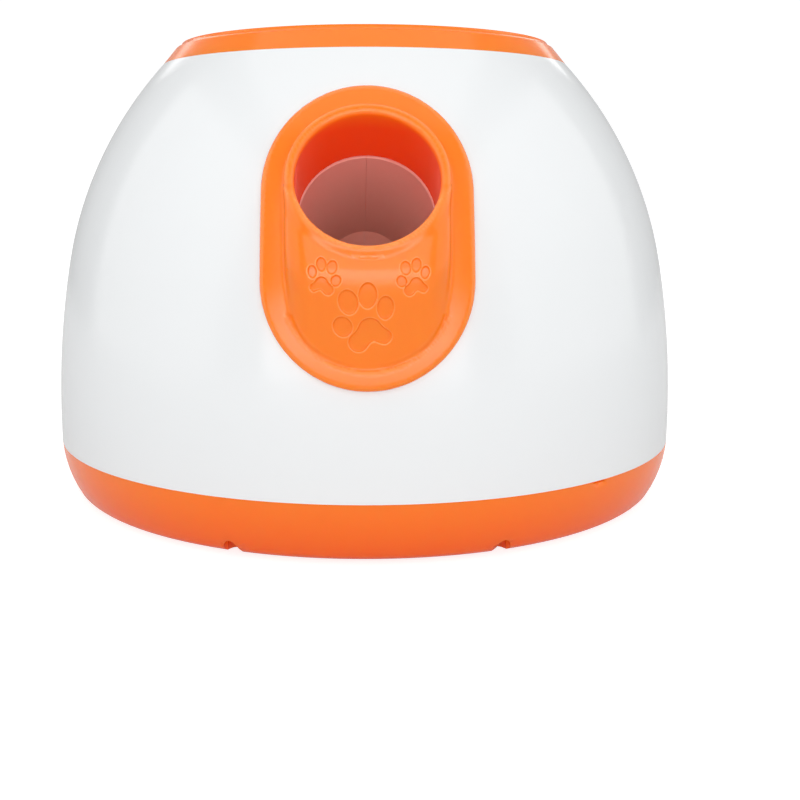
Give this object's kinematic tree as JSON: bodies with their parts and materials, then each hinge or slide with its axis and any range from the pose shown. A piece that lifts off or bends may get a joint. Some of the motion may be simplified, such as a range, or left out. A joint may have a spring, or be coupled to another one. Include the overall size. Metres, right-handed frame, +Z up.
{
  "type": "automatic dog ball launcher",
  "caption": "Domed launcher: a ball dropped in the top funnel rolls into a slanted barrel and a motor-cocked spring striker throws it out of the front muzzle.",
  "frame": {"origin": "centre of the round base on the table plane, under the dome axis", "axes": "+Z up, -Y forward out of the muzzle, +X to the right seen from the muzzle side"},
  "size_m": [0.2906, 0.2955, 0.2083],
  "materials": {
    "orange_plastic": "glossy moulded ABS",
    "white_plastic": "high gloss moulded ABS",
    "barrel_plastic": "satin white ABS",
    "black_plastic": "fine matte",
    "grey_plastic": "glass filled nylon",
    "gear_plastic": "natural acetal",
    "rubber_black": "matte rubber",
    "steel": "zinc plated steel",
    "brass_parts": "sintered bronze",
    "light_metal": "plain can",
    "circuit_board": "solder mask",
    "red_lens": "clear tinted lens"
  },
  "bodies": {
    "housing": {"base_tray": "orange_plastic", "rubber_feet": "rubber_black", "base_screws": "steel", "body_shell": "white_plastic", "top_hopper": "orange_plastic", "hopper_screws": "steel", "muzzle_hood": "orange_plastic", "barrel_left": "barrel_plastic", "barrel_right": "barrel_plastic", "barrel_screws": "steel", "ir_emitter": "black_plastic", "ir_receiver": "black_plastic", "guide_rods": "steel", "drive_spring_left": "steel", "drive_spring_right": "steel", "front_guide": "grey_plastic", "rear_guide": "grey_plastic", "gearbox_plate_left": "grey_plastic", "gearbox_plate_right": "grey_plastic", "gear_cover": "grey_plastic", "gearbox_pillars": "light_metal", "gearbox_screws": "steel", "shaft_bushes": "brass_parts", "compound_pin": "steel", "motor_can": "light_metal", "motor_endcap": "black_plastic", "motor_screws": "steel", "battery_box": "black_plastic", "battery_cells": "light_metal", "battery_contacts": "steel", "door_pin": "steel", "rear_panel": "orange_plastic", "indicator_lenses": "red_lens", "indicator_leds": "red_lens", "panel_board": "circuit_board", "tact_switch": "black_plastic", "dc_inlet": "black_plastic", "power_switch": "black_plastic", "rocker_pin": "steel", "main_board": "circuit_board", "board_spacers": "light_metal", "relay": "black_plastic", "controller_chip": "black_plastic", "capacitors": "black_plastic", "buzzer": "black_plastic", "board_screws": "steel", "frame_screws": "steel", "panel_screws": "steel"},
    "striker_unit": {"striker": "grey_plastic", "striker_pad": "rubber_black", "rack": "gear_plastic"},
    "output_gear": {"sector_gear": "gear_plastic", "output_wheel": "gear_plastic", "output_shaft": "steel"},
    "idler_gear": {"compound_gear": "gear_plastic"},
    "motor_rotor": {"motor_pinion": "steel"},
    "button": {"mode_button": "white_plastic"},
    "rocker": {"power_rocker": "black_plastic"},
    "door": {"battery_door": "orange_plastic"}
  },
  "joints": [
    {"name": "output_turn", "type": "hinge", "parent": "housing", "child": "output_gear", "pos_m": [0, 0.09151, 0.05456], "axis": [1, 0, 0], "range_deg": [0, 121]},
    {"name": "striker_slide", "type": "slide", "parent": "housing", "child": "striker_unit", "axis": [0, 0.891, -0.454], "range_m": [0, 0.038], "stiffness_N_per_m": 1500, "springref_m": -0.002, "deforming": ["drive_spring_left", "drive_spring_right"]},
    {"name": "idler_turn", "type": "hinge", "parent": "housing", "child": "idler_gear", "pos_m": [0, 0.08181, 0.09078], "axis": [1, 0, 0], "range_deg": [-485, 0]},
    {"name": "motor_turn", "type": "hinge", "parent": "housing", "child": "motor_rotor", "pos_m": [0, 0.06498, 0.11189], "axis": [1, 0, 0], "range_deg": [0, 1696]},
    {"name": "button_press", "type": "slide", "parent": "housing", "child": "button", "axis": [0, -1, 0], "range_m": [0, 0.001], "stiffness_N_per_m": 600, "springref_m": -0.0008},
    {"name": "rocker_tilt", "type": "hinge", "parent": "housing", "child": "rocker", "pos_m": [0.017, 0.1376, 0.074], "axis": [1, 0, 0], "range_deg": [-16, 0]},
    {"name": "door_swing", "type": "hinge", "parent": "housing", "child": "door", "pos_m": [0, -0.0055, 0.0025], "axis": [1, 0, 0], "range_deg": [0, 90]}
  ],
  "couplings": [
    {"joint": "output_turn", "follows": "striker_slide", "rad_per_m": 55.556},
    {"joint": "idler_turn", "follows": "striker_slide", "rad_per_m": -222.22},
    {"joint": "motor_turn", "follows": "striker_slide", "rad_per_m": 777.78}
  ]
}
